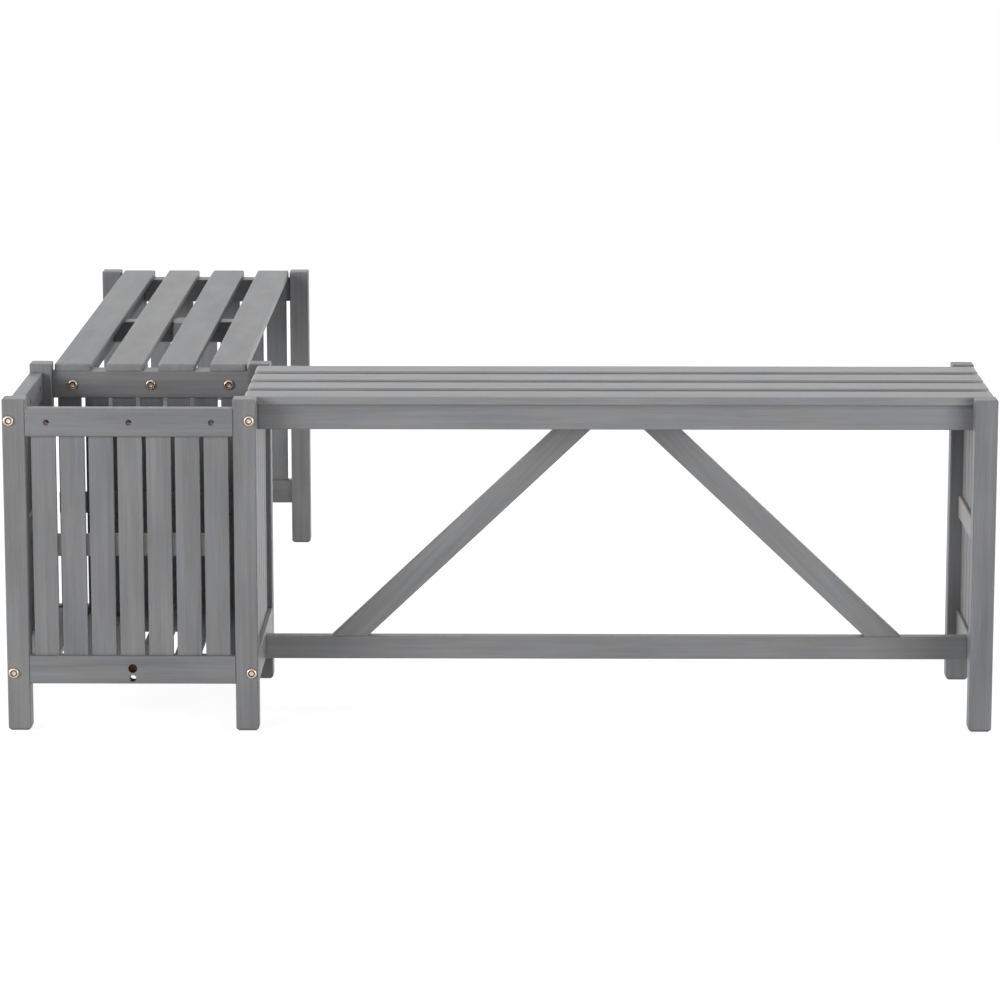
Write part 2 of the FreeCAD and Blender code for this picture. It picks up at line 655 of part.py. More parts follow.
def bench_fasteners():
    """Bolts, inserts and dowels at both ends of both benches."""
    joint = "PlanterWidth / 2"
    inner_face = f"{joint} - RailThickness"
    insert_length = f"({BENCH_BORE} - BoreEndGap)"
    shank = f"(RailThickness + {insert_length})"
    for name, centre in (("bench", bench_bolt_row("0")[0]), ("stretcher", ("0", LOW_HOLE_HEIGHT))):
        bolts = new_body(name + "_bolts", PLANTER_MIDDLE)
        bolt(bolts, "YZ_Plane", inner_face, centre, shank, False)
        to_each_bench_end(bolts, name == "bench")
        inserts = new_body(name + "_inserts", PLANTER_MIDDLE)
        insert(inserts, "YZ_Plane", joint, centre, insert_length)
        to_each_bench_end(inserts, name == "bench")

    dowels = new_body("stretcher_dowels", PLANTER_MIDDLE)
    in_rail = f"({DOWEL_RAIL_DEPTH} - JointClearance)"
    start = f"{joint} - {in_rail}"
    length = f"{in_rail} + DowelDepth - JointClearance"
    centre = ("0", DOWEL_HEIGHT)
    prisms(dowels, "Additive", "YZ_Plane", start, [centre], HIDDEN_SIDES, "DowelRadius", length)
    to_each_bench_end(dowels, in_row=False)


def check_and_write():
    """Stops on any failed object or bad shape, then writes each body to its own file."""
    for item in doc.Objects:
        if "Invalid" in item.State or "Error" in item.State:
            raise RuntimeError(f"{item.Label} failed: {item.State}")
    for body in bodies:
        if body.Shape.isNull() or not body.Shape.isValid():
            raise RuntimeError(f"{body.Label} has no valid shape")
    os.makedirs("parts", exist_ok=True)
    for body in bodies:
        body.Shape.exportStep(f"parts/{body.Label}.step")
        print(f"{body.Label}: {len(body.Shape.Solids)} solids, {body.Shape.Volume:.0f} mm3")


fill_sheet()
planter()
for bench_name, bench_frame in BENCHES.items():
    bench(bench_name, bench_frame)
corner_fasteners()
bench_fasteners()
check_and_write()
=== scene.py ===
"""Corner bench with a slatted planter: the wood, the bolts, and a plain studio round them."""

import math

import bmesh
import bpy
from mathutils import Matrix, Vector


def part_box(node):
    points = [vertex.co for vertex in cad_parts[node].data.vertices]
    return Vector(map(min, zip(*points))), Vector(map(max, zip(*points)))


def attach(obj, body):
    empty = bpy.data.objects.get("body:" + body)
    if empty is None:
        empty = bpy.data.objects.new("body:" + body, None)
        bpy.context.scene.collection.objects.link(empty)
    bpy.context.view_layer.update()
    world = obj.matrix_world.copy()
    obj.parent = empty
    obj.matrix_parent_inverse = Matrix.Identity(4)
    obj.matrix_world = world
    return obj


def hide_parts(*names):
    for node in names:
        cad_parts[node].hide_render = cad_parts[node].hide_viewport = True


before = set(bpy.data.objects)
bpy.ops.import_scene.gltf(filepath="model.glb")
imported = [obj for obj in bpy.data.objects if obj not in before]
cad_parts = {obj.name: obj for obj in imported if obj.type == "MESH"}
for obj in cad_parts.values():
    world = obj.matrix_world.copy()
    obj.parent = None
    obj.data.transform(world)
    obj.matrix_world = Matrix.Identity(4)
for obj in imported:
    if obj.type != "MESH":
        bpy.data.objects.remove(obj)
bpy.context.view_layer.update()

bl_info = {
    "name": "Corner Bench with Planter",
    "version": (1, 0, 0),
    "blender": (4, 5, 0),
    "location": "3D View > Sidebar > Bench",
    "description": "Finishes the stained boards and plated bolts of a corner bench with a planter",
    "category": "Object",
}

MM = 0.001
X, Y, Z = Vector((1, 0, 0)), Vector((0, 1, 0)), Vector((0, 0, 1))

# Each slatted panel and the direction that it runs in.
PANELS = {
    "planter_front": X, "planter_back": X, "planter_left": Y, "planter_right": Y,
    "right_bench_end": Y, "back_bench_end": X,
}
# Each bench, the direction that it runs in and the one across it.
BENCHES = {"right_bench": (X, Y), "back_bench": (Y, X)}
# For each bench, the planter's panel and the far panel that it bolts to, and the same directions.
BENCH_ENDS = (
    ("planter_right", "right_bench_end", X, Y),
    ("planter_back", "back_bench_end", Y, X),
)


def linear(code):
    """An sRGB hex colour as linear red, green, blue and alpha."""
    parts = [int(code[i:i + 2], 16) / 255 for i in (1, 3, 5)]
    return (*((c / 12.92 if c <= 0.04045 else ((c + 0.055) / 1.055) ** 2.4) for c in parts), 1.0)


def length(name, description, default):
    """A length that is given in millimetres and held in metres."""
    return bpy.props.FloatProperty(
        name=name, description=description, default=default * MM, min=0.0, precision=5,
        unit="LENGTH", subtype="DISTANCE")


def colour(name, description, code):
    """A colour that is given as an sRGB hex value."""
    return bpy.props.FloatVectorProperty(
        name=name, description=description, size=4, min=0.0, max=1.0, default=linear(code),
        subtype="COLOR")


class BenchSizes(bpy.types.PropertyGroup):
    board_edge: length("Board edge", "Radius of the sanded edges of posts and rails", 1.1)
    slat_edge: length("Slat edge", "Radius of the sanded edges of upright slats and battens", 0.8)
    seat_edge: length("Seat edge", "Radius that softens the chamfer along the seat slats", 0.7)
    slat_gap: length("Slat gap", "Clear gap between two upright slats", 4.7)
    seat_gap: length("Seat gap", "Clear gap between two seat slats", 19.6)
    floor_gap: length("Floor gap", "Clear gap between two slats of the planter's floor", 12.5)
    brace_foot: length("Brace foot", "Length of a brace's level cut on the stretcher", 44)
    bolt_spacing: length("Bolt spacing", "Distance from a rail's middle bolt to the outer ones", 97)
    pilot_hole: length("Pilot hole", "Radius of the empty bolt holes in a top rail", 3.3)
    lower_hole: length("Lower hole", "Radius of the lower hole in a bottom rail", 4.0)
    upper_hole: length("Upper hole", "Radius of the upper hole in a bottom rail", 5.2)
    hole_rise: length("Hole rise", "Distance between the two holes in a bottom rail", 12)
    head_radius: length("Head radius", "Radius of a bolt's round head", 6.5)
    head_height: length("Head height", "How far a bolt's head stands proud", 3.5)
    socket_width: length("Socket width", "Width across the flats of a head's hexagon socket", 5.0)
    socket_depth: length("Socket depth", "Depth of a head's hexagon socket", 1.7)
    mouth_radius: length("Mouth radius", "Radius of the countersink round a head's socket", 4.2)
    mouth_depth: length("Mouth depth", "Depth of the countersink round a head's socket", 0.9)
    shank_radius: length("Shank radius", "Radius of a bolt's shank", 3.0)
    corner_shank: length("Corner shank", "Length of the bolts through the posts", 40)
    bench_shank: length("Bench shank", "Length of the bolts into the benches", 30)


class BenchColours(bpy.types.PropertyGroup):
    stain_cool: colour("Cool stain", "Grey stain where it has a blue cast", "#8A8C90")
    stain_warm: colour("Warm stain", "Grey stain where the wood warms it", "#8E8D8D")
    thin_stain: colour("Thin stain", "Inner battens where the brown wood shows through", "#918B84")
    worn: colour("Worn edge", "Edge where sanding has thinned the stain", "#B9B8B4")
    raw_wood: colour("Raw wood", "Wall of a drilled hole, which has no stain", "#5B3B26")
    brass: colour("Brass plating", "Yellow plating of the bolt heads", "#CBC2B7")
    brass_patch: colour("Brass patch", "Plating where it is thin and browner", "#BDAE9F")
    # Painted shade: a bolt's socket and mouth are drawn dark brown, darker in patches, for the
    # shade that falls there.
    socket_shade: colour("Recess", "Plating inside a bolt's socket, under a film of oil", "#5E4B3C")
    socket_deep_shade: colour("Recess film", "Thickest oil inside a bolt's socket", "#3A2E26")
    zinc: colour("Zinc plating", "Plating of the threaded inserts", "#B4B6BA")
    dowel: colour("Dowel", "Plain beech of the dowels", "#C79E6B")
    dowel_fleck: colour("Dowel fleck", "Darker flecks in the beech", "#A87F50")
    floor: colour("Floor", "Paper of the studio floor, as the camera sees it", "#9C9C9C")
    floor_bounce: colour("Floor bounce", "Studio floor as it lights the bench", "#848484")


def sizes():
    """The sizes that the panel shows."""
    return bpy.context.scene.bench_sizes


def colours():
    """The colours that the panel shows."""
    return bpy.context.scene.bench_colours


# Materials

# Inputs of a Mix node that mixes two colours.
FACTOR, FIRST, SECOND = 0, 6, 7


def add(tree, kind, inputs=None, **settings):
    """One node with its settings. An input takes a value, a socket, or a node to link from."""
    node = tree.nodes.new(kind)
    for name, value in settings.items():
        setattr(node, name, value)
    for socket, value in (inputs or {}).items():
        if isinstance(value, bpy.types.Node):
            value = next(output for output in value.outputs if output.enabled)
        if isinstance(value, bpy.types.NodeSocket):
            tree.links.new(value, node.inputs[socket])
        else:
            node.inputs[socket].default_value = value
    return node


def new_material(name):
    """A node material without nodes, and its tree."""
    material = bpy.data.materials.new(name)
    material.use_nodes = True
    material.node_tree.nodes.clear()
    return material, material.node_tree


def dress(piece, material):
    """Gives a piece one material."""
    piece.data.materials.clear()
    piece.data.materials.append(material)


# The patterns of the grain: length and width in millimetres, then the noise's detail and roughness.
# Fibres and pores are drawn about three times as wide as real ones, which are too fine to show.
GRAIN = {
    "cloud": (130, 32, 2.0, 0.5),
    "bands": (210, 6.5, 2.0, 0.5),
    "fibres": (45, 1.1, 3.0, 0.6),
    "blush": (70, 24, 1.0, 0.5),
    "pores": (16, 0.7, 1.0, 0.5),
}
# How much lighter the stain is at a pattern's lightest than at its darkest. "chance" is what a
# whole board differs by.
STREAK_DEPTHS = {"cloud": 0.54, "bands": 0.50, "fibres": 0.38, "chance": 0.10}
PORE_DEPTH = 0.12
# A pore sets in at the first value of its noise and is full at the second.
PORE_START, PORE_FULL = 0.64, 0.74
# How far two boards' patterns lie apart at most, in metres.
PATTERN_STEP = 4.0
# The stain's cast goes from cool to warm between the first two values of the blush. The third is
# how much a board's own chance adds to it.
COOL_UP_TO, WARM_FROM, CHANCE_OF_WARM = 0.40, 0.85, 0.25
# Joints and creases are drawn darker this far round: painted shade for the contact shadows there,
# and stain pooled in the joints. It is darkest, with this tone, where less than the first share of
# what lies round a point is open, and plain where more than the second is.
CREASE_SHADE_REACH = 4 * MM
CREASE_SHADE_CLOSED, CREASE_SHADE_OPEN, CREASE_SHADE_TONE = 0.35, 0.85, 0.72
# How far in from a seat slat's sawn end the stain is drawn paler: painted light on the ends and the
# wood near them.
LIT_END_REACH = 8 * MM
# Edges are shaded as if rounded to this radius. The stain wears thin where that turns the face's
# direction: from the first cosine of the turn, and the most at the second.
EDGE_RADIUS = 1.3 * MM
EDGE_START, EDGE_FULL, EDGE_WEAR = 0.985, 0.86, 0.5
# Roughness of the satin finish, and what the patterns add to it.
SATIN, SATIN_BANDS, SATIN_FIBRES = 0.23, 0.26, 0.16
# Height of the fibres, how much of it is felt, and how far the pores lie below them.
RELIEF, RELIEF_STRENGTH, PORE_DROP = 0.25 * MM, 0.35, 0.6
# How far past its radius a drilled hole's bare wall is coloured.
HOLE_MARGIN = 0.25 * MM

# How much lighter or darker than the rest some boards are drawn: partly their own take of the
# stain, partly painted light and shade for how much light reaches them.
TONE_AND_PAINTED_LIGHT = {
    "right_bench_seat_slats": 1.24, "right_bench_apron_outer": 1.15, "right_bench_stretcher": 1.12,
    "right_bench_brace_near": 1.10, "right_bench_brace_far": 1.10,
    "right_bench_end_mid_batten": 1.40, "right_bench_leg_inner": 0.85,
    "back_bench_seat_slats": 0.79, "back_bench_leg_inner": 0.88,
    "planter_back_top_rail": 1.10, "planter_post_back_right": 0.78, "planter_front_mid_batten": 1.9,
}


def grain_of(tree, name, place, grain, across, gap, count):
    """The patterns of a board's grain, by name, and the distance along it. In a row of count boards
    with a clear gap between them, each board gets its own piece of every pattern."""
    low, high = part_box(name)
    along, wide, deep = [
        add(tree, "ShaderNodeVectorMath", {0: place, 1: direction}, operation="DOT_PRODUCT")
        for direction in (grain, across, grain.cross(across).normalized())
    ]
    number = sum(ord(letter) * (i + 3) for i, letter in enumerate(name)) % 997
    if count > 1:
        start = min(low.dot(across), high.dot(across)) - gap / 2
        pitch = (abs((high - low).dot(across)) + gap) / count
        reach = add(tree, "ShaderNodeMath", {0: wide, 1: start}, operation="SUBTRACT")
        boards = add(tree, "ShaderNodeMath", {0: reach, 1: pitch}, operation="DIVIDE")
        board = add(tree, "ShaderNodeMath", {0: boards}, operation="FLOOR")
        number = add(tree, "ShaderNodeMath", {0: board, 1: number}, operation="ADD")
    chance = add(tree, "ShaderNodeTexWhiteNoise", {"W": number}, noise_dimensions="1D")
    step = add(tree, "ShaderNodeVectorMath", {0: chance.outputs["Color"], 3: PATTERN_STEP},
               operation="SCALE")
    point = add(tree, "ShaderNodeCombineXYZ", {0: along, 1: wide, 2: deep})
    point = add(tree, "ShaderNodeVectorMath", {0: point, 1: step}, operation="ADD")
    patterns = {"chance": chance}
    for pattern, (long, thick, detail, rough) in GRAIN.items():
        scale = (1 / (long * MM), 1 / (thick * MM), 1 / (thick * MM))
        drawn_out = add(tree, "ShaderNodeVectorMath", {0: point, 1: scale}, operation="MULTIPLY")
        patterns[pattern] = add(tree, "ShaderNodeTexNoise", {
            "Vector": drawn_out, "Scale": 1.0, "Detail": detail, "Roughness": rough})
    patterns["pores"] = add(tree, "ShaderNodeMapRange", {
        "Value": patterns["pores"], "From Min": PORE_START, "From Max": PORE_FULL})
    return patterns, along


def stain_tone(tree, name, patterns, along, ends, lit_ends):
    """How light the stain is: streaked by the grain, painted paler at sawn ends as light on them,
    and darker in the joints with painted shade and pooled stain.
    """
    # Each board's own lightness, which also holds painted light and shade.
    tone = TONE_AND_PAINTED_LIGHT.get(name, 1.0) - sum(STREAK_DEPTHS.values()) / 2
    for pattern, depth in STREAK_DEPTHS.items():
        tone = add(tree, "ShaderNodeMath", {0: patterns[pattern], 1: depth, 2: tone},
                   operation="MULTIPLY_ADD")
    tone = add(tree, "ShaderNodeMath", {0: patterns["pores"], 1: -PORE_DEPTH, 2: tone},
               operation="MULTIPLY_ADD")
    # Painted light: paler towards each sawn end, for the light that the ends catch.
    if lit_ends:
        near = add(tree, "ShaderNodeMath", {0: along, 1: ends[0]}, operation="SUBTRACT")
        far = add(tree, "ShaderNodeMath", {0: ends[1], 1: along}, operation="SUBTRACT")
        nearest = add(tree, "ShaderNodeMath", {0: near, 1: far}, operation="MINIMUM")
        sanded = add(tree, "ShaderNodeMapRange", {
            "Value": nearest, "From Min": 0.0, "From Max": LIT_END_REACH, "To Min": 1.0, "To Max": 0.0})
        end_light = add(tree, "ShaderNodeMath", {0: sanded, 1: sanded}, operation="MULTIPLY")
        tone = add(tree, "ShaderNodeMath", {0: end_light, 1: lit_ends, 2: tone},
                   operation="MULTIPLY_ADD")
    # Painted shade, with pooled stain: darker where little round a point is open, in joints and
    # creases.
    crease = add(tree, "ShaderNodeAmbientOcclusion", {"Distance": CREASE_SHADE_REACH}, samples=4)
    pooled_stain_and_shade = add(tree, "ShaderNodeMapRange", {
        "Value": crease.outputs["AO"], "From Min": CREASE_SHADE_CLOSED, "From Max": CREASE_SHADE_OPEN,
        "To Min": CREASE_SHADE_TONE, "To Max": 1.0})
    return add(tree, "ShaderNodeMath", {0: tone, 1: pooled_stain_and_shade}, operation="MULTIPLY")


def stained_acacia(name, grain, across, gap=0.0, count=1, stained=1.0, lit_ends=0.0, holes=()):
    """Planed acacia under a thin grey stain with a satin finish: the streaks of the grain and the
    uneven uptake of the stain show through. It is a little paler where sanding has thinned it along
    the edges. It is paler still at sawn ends, which is painted light, and darker in the joints and
    creases, which is painted shade together with pooled stain. Each board's lightness also holds
    painted light and shade. Under 1, stained lets the brown wood through.

    grain and across are the directions along a board and across its width. A row of count boards
    has a clear gap between them. holes are (centre, axis, radius) of drilled holes, whose walls are
    bare."""
    shade = colours()
    low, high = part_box(name)
    ends = sorted((low.dot(grain), high.dot(grain)))
    material, tree = new_material("stained_acacia." + name)
    place = add(tree, "ShaderNodeTexCoord").outputs["Object"]
    patterns, along = grain_of(tree, name, place, grain, across, gap, count)
    tone = stain_tone(tree, name, patterns, along, ends, lit_ends)

    warmth = add(tree, "ShaderNodeMath", {
        0: patterns["chance"], 1: CHANCE_OF_WARM, 2: patterns["blush"]}, operation="MULTIPLY_ADD")
    cast = add(tree, "ShaderNodeMapRange", {
        "Value": warmth, "From Min": COOL_UP_TO, "From Max": WARM_FROM})
    stain = add(tree, "ShaderNodeMix", {
        FACTOR: cast, FIRST: shade.stain_cool, SECOND: shade.stain_warm}, data_type="RGBA")
    if stained < 1.0:
        stain = add(tree, "ShaderNodeMix", {
            FACTOR: 1.0 - stained, FIRST: stain, SECOND: shade.thin_stain}, data_type="RGBA")
    finish = add(tree, "ShaderNodeMix", {FACTOR: 1.0, FIRST: stain, SECOND: tone},
                 data_type="RGBA", blend_type="MULTIPLY")

    rounded = add(tree, "ShaderNodeBevel", {"Radius": EDGE_RADIUS}, samples=4)
    face = add(tree, "ShaderNodeNewGeometry").outputs["Normal"]
    turn = add(tree, "ShaderNodeVectorMath", {0: rounded, 1: face}, operation="DOT_PRODUCT")
    rubbed = add(tree, "ShaderNodeMapRange", {
        "Value": turn, "From Min": EDGE_START, "From Max": EDGE_FULL, "To Min": 0.0,
        "To Max": EDGE_WEAR})
    wear = add(tree, "ShaderNodeMath", {0: rubbed, 1: patterns["fibres"]}, operation="MULTIPLY")
    finish = add(tree, "ShaderNodeMix", {FACTOR: wear, FIRST: finish, SECOND: shade.worn},
                 data_type="RGBA")

    for centre, axis, radius in holes:
        off = add(tree, "ShaderNodeVectorMath", {0: place, 1: centre}, operation="SUBTRACT")
        level = add(tree, "ShaderNodeVectorMath", {0: off, 1: Vector((1, 1, 1)) - axis},
                    operation="MULTIPLY")
        reach = add(tree, "ShaderNodeVectorMath", {0: level}, operation="LENGTH")
        inside = add(tree, "ShaderNodeMath", {0: reach, 1: radius + HOLE_MARGIN},
                     operation="LESS_THAN")
        finish = add(tree, "ShaderNodeMix", {FACTOR: inside, FIRST: finish, SECOND: shade.raw_wood},
                     data_type="RGBA")

    satin = add(tree, "ShaderNodeMath", {0: patterns["bands"], 1: SATIN_BANDS, 2: SATIN},
                operation="MULTIPLY_ADD")
    rough = add(tree, "ShaderNodeMath", {0: patterns["fibres"], 1: SATIN_FIBRES, 2: satin},
                operation="MULTIPLY_ADD")
    relief = add(tree, "ShaderNodeMath", {
        0: patterns["pores"], 1: -PORE_DROP, 2: patterns["fibres"]}, operation="MULTIPLY_ADD")
    bump = add(tree, "ShaderNodeBump", {
        "Strength": RELIEF_STRENGTH, "Distance": RELIEF, "Height": relief, "Normal": rounded})
    surface = add(tree, "ShaderNodeBsdfPrincipled", {
        "Base Color": finish, "Roughness": rough, "IOR": 1.5, "Normal": bump})
    add(tree, "ShaderNodeOutputMaterial", {"Surface": surface})
    dress(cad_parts[name], material)


def zinc_plated_steel():
    """Steel, turned and zinc-plated: a cool satin metal, a little duller in small patches."""
    material, tree = new_material("turned_zinc_plated_steel")
    place = add(tree, "ShaderNodeTexCoord").outputs["Object"]
    grit = add(tree, "ShaderNodeTexNoise", {
        "Vector": place, "Scale": 1 / (0.8 * MM), "Detail": 2.0})
    rough = add(tree, "ShaderNodeMapRange", {"Value": grit, "To Min": 0.25, "To Max": 0.45})
    surface = add(tree, "ShaderNodeBsdfPrincipled", {
        "Base Color": colours().zinc, "Metallic": 1.0, "Roughness": rough})
    add(tree, "ShaderNodeOutputMaterial", {"Surface": surface})
    return material


def beech_dowel():
    """Beech, machined to a dowel: plain, pale and matt, with small darker flecks."""
    material, tree = new_material("machined_beech_dowel")
    place = add(tree, "ShaderNodeTexCoord").outputs["Object"]
    fleck = add(tree, "ShaderNodeTexNoise", {
        "Vector": place, "Scale": 1 / (1.2 * MM), "Detail": 2.0})
    tint = add(tree, "ShaderNodeMix", {
        FACTOR: fleck, FIRST: colours().dowel, SECOND: colours().dowel_fleck}, data_type="RGBA")
    surface = add(tree, "ShaderNodeBsdfPrincipled", {"Base Color": tint, "Roughness": 0.6})
    add(tree, "ShaderNodeOutputMaterial", {"Surface": surface})
    return material


def plated_brass():
    """Steel with a thin yellow plating, tumbled: a pale warm metal with a satin shine, browner in
    patches and scuffed."""
    material, tree = new_material("tumbled_brass_plating")
    place = add(tree, "ShaderNodeTexCoord").outputs["Object"]
    patch = add(tree, "ShaderNodeTexNoise", {
        "Vector": place, "Scale": 1 / (4 * MM), "Detail": 3.0})
    scuff = add(tree, "ShaderNodeTexNoise", {
        "Vector": place, "Scale": 1 / (0.5 * MM), "Detail": 2.0})
    tint = add(tree, "ShaderNodeMix", {
        FACTOR: patch, FIRST: colours().brass, SECOND: colours().brass_patch}, data_type="RGBA")
    rough = add(tree, "ShaderNodeMapRange", {"Value": scuff, "To Min": 0.18, "To Max": 0.36})
    surface = add(tree, "ShaderNodeBsdfPrincipled", {
        "Base Color": tint, "Metallic": 1.0, "Roughness": rough})
    add(tree, "ShaderNodeOutputMaterial", {"Surface": surface})
    return material


def recess_painted_shade():
    """The same plating inside a socket and its mouth, drawn brown and dull: painted shade for the
    shadow that falls inside the socket.
    """
    material, tree = new_material("brass_recess_painted_shade")
    place = add(tree, "ShaderNodeTexCoord").outputs["Object"]
    # Painted shade in patches, darkest where this noise is high.
    film = add(tree, "ShaderNodeTexNoise", {
        "Vector": place, "Scale": 1 / (1.5 * MM), "Detail": 2.0})
    tint = add(tree, "ShaderNodeMix", {
        FACTOR: film, FIRST: colours().socket_shade, SECOND: colours().socket_deep_shade}, data_type="RGBA")
    surface = add(tree, "ShaderNodeBsdfPrincipled", {
        "Base Color": tint, "Metallic": 0.6, "Roughness": 0.5})
    add(tree, "ShaderNodeOutputMaterial", {"Surface": surface})
    return material


# Boards

# Points of a board's mesh closer than this are one point.
WELD_WITHIN = 0.02 * MM
# Faces that meet at less than the first angle are one face, and edges sharper than the second are
# sanded.
FLAT_WITHIN, SANDED_FROM = math.radians(2), math.radians(60)


def level_faces():
    """Geometry nodes that shade every face by its own direction, so that planed faces look flat."""
    group = bpy.data.node_groups.get("level_faces")
    if group:
        return group
    group = bpy.data.node_groups.new("level_faces", "GeometryNodeTree")
    group.interface.new_socket("Board", in_out="INPUT", socket_type="NodeSocketGeometry")
    group.interface.new_socket("Board", in_out="OUTPUT", socket_type="NodeSocketGeometry")
    board = add(group, "NodeGroupInput")
    plain = add(group, "GeometryNodeRemoveAttribute", {"Geometry": board, "Name": "custom_normal"})
    level = add(group, "GeometryNodeSetShadeSmooth", {"Geometry": plain, "Shade Smooth": False})
    add(group, "NodeGroupOutput", {0: level})
    return group


def soften(name, radius):
    """Rounds a board's edges, as sanding does, without touching its mesh."""
    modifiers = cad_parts[name].modifiers
    weld = modifiers.new("joined", "WELD")
    weld.merge_threshold = WELD_WITHIN
    flat = modifiers.new("flat_faces", "DECIMATE")
    flat.decimate_type = "DISSOLVE"
    flat.angle_limit = FLAT_WITHIN
    edge = modifiers.new("sanded_edges", "BEVEL")
    edge.width = radius
    edge.segments = 2
    edge.limit_method = "ANGLE"
    edge.angle_limit = SANDED_FROM
    modifiers.new("level_faces", "NODES").node_group = level_faces()


class BENCH_OT_posts(bpy.types.Operator):
    """Stains the planter's four posts and the benches' four legs"""

    bl_idname = "corner_bench.posts"
    bl_label = "Posts and Legs"

    def execute(self, context):
        names = ["planter_post_%s_%s" % (end, side)
                 for end in ("front", "back") for side in ("left", "right")]
        names += ["%s_leg_%s" % (bench, side) for bench in BENCHES for side in ("outer", "inner")]
        for name in names:
            stained_acacia(name, Z, X)
            soften(name, sizes().board_edge)
        return {"FINISHED"}


def open_holes(panel, rail, run, out):
    """Centre, axis and radius of the empty holes of the two panels that carry no bench."""
    if panel not in ("planter_front", "planter_left"):
        return ()
    size = sizes()
    low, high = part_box("%s_%s" % (panel, rail))
    middle = (low + high) / 2
    if rail == "top_rail":
        return [(middle + run * side * size.bolt_spacing, out, size.pilot_hole)
                for side in (-1, 0, 1)]
    # The lower hole is as high as the stretchers' bolts.
    low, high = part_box("stretcher_bolts")
    middle.z = (low.z + high.z) / 2
    return [(middle, out, size.lower_hole), (middle + Z * size.hole_rise, out, size.upper_hole)]


class BENCH_OT_panels(bpy.types.Operator):
    """Stains the rails, upright slats and battens of the six slatted panels"""

    bl_idname = "corner_bench.panels"
    bl_label = "Slatted Panels"

    def execute(self, context):
        size = sizes()
        for panel, run in PANELS.items():
            out = Vector((1, 1, 0)) - run
            for rail in ("top_rail", "bottom_rail"):
                name = "%s_%s" % (panel, rail)
                stained_acacia(name, run, Z, holes=open_holes(panel, rail, run, out))
                soften(name, size.board_edge)
            stained_acacia(panel + "_slats", Z, run, gap=size.slat_gap, count=7)
            soften(panel + "_slats", size.slat_edge)
            stained_acacia(panel + "_mid_batten", run, Z, stained=0.55)
            soften(panel + "_mid_batten", size.slat_edge)
        return {"FINISHED"}


class BENCH_OT_planter_floor(bpy.types.Operator):
    """Stains the slats and battens of the planter's floor"""

    bl_idname = "corner_bench.planter_floor"
    bl_label = "Planter Floor"

    def execute(self, context):
        size = sizes()
        stained_acacia("planter_floor_slats", Y, X, gap=size.floor_gap, count=6)
        soften("planter_floor_slats", size.slat_edge)
        for side in ("front", "back"):
            stained_acacia("planter_floor_batten_" + side, X, Z, stained=0.55)
            soften("planter_floor_batten_" + side, size.slat_edge)
        return {"FINISHED"}


class BENCH_OT_seats(bpy.types.Operator):
    """Stains the four seat slats of each bench"""

    bl_idname = "corner_bench.seats"
    bl_label = "Seat Slats"

    def execute(self, context):
        size = sizes()
        for bench, (run, side) in BENCHES.items():
            name = bench + "_seat_slats"
            # The paler ends are painted light on the seat slats' sawn ends.
            stained_acacia(name, run, side, gap=size.seat_gap, count=4, lit_ends=0.48)
            soften(name, size.seat_edge)
        return {"FINISHED"}


class BENCH_OT_frames(bpy.types.Operator):
    """Stains the rails and aprons that carry the seat slats"""

    bl_idname = "corner_bench.frames"
    bl_label = "Seat Frames"

    def execute(self, context):
        for bench, (run, side) in BENCHES.items():
            for part, grain in (("apron_outer", run), ("apron_inner", run),
                                ("end_rail_near", side), ("end_rail_far", side),
                                ("mid_rail", side)):
                name = "%s_%s" % (bench, part)
                stained_acacia(name, grain, Z)
                soften(name, sizes().board_edge)
        return {"FINISHED"}


class BENCH_OT_braces(bpy.types.Operator):
    """Stains the low stretcher and the two slanted braces of each bench"""

    bl_idname = "corner_bench.braces"
    bl_label = "Stretchers and Braces"

    def execute(self, context):
        size = sizes()
        for bench, (run, side) in BENCHES.items():
            stained_acacia(bench + "_stretcher", run, Z)
            soften(bench + "_stretcher", size.board_edge)
            for end, lean in (("near", 1), ("far", -1)):
                name = "%s_brace_%s" % (bench, end)
                low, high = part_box(name)
                reach = (high - low).dot(run) - size.brace_foot
                grain = (run * lean * reach + Z * (high.z - low.z)).normalized()
                stained_acacia(name, grain, side.cross(grain).normalized())
                soften(name, size.board_edge)
        return {"FINISHED"}


class BENCH_OT_fixings(bpy.types.Operator):
    """Gives the threaded inserts and dowels inside the joints their metal and wood"""

    bl_idname = "corner_bench.fixings"
    bl_label = "Inserts and Dowels"

    def execute(self, context):
        steel = zinc_plated_steel()
        for name in ("corner_inserts", "bench_inserts", "stretcher_inserts"):
            dress(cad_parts[name], steel)
        dress(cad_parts["stretcher_dowels"], beech_dowel())
        return {"FINISHED"}


# Bolts

# Points round a bolt, and degrees between the rings of its head's crown.
ROUND, CROWN_STEP = 36, 15
# Edges more bent than this stay sharp.
SHARP_FROM = math.radians(38)
# How far a head's flat underside stops short of its edge.
UNDERCUT = 0.3 * MM
# Height of a head's edge below its crown, and width of the flat lip round its mouth.
SKIRT, LIP = 0.5 * MM, 0.5 * MM
# How far a socket's drill point goes below its floor, and its width as a share of the socket's.
DRILL_POINT, DRILL_SHARE = 0.2 * MM, 0.5
# Each bolt stopped at an angle of its own: its place in metres, times these, in radians.
STOPPED_AT = Vector((40, 120, 280))


def to_ring(verts, radius, height, flats=0.0):
    """Moves a ring of points about Z to a radius and a height, or to a hexagon of width flats."""
    for vert in verts:
        angle = math.atan2(vert.co.y, vert.co.x)
        turn = (angle + math.pi / 6) % (math.pi / 3) - math.pi / 6
        reach = flats / 2 / math.cos(turn) if flats else radius
        vert.co = Vector((math.cos(angle) * reach, math.sin(angle) * reach, height))


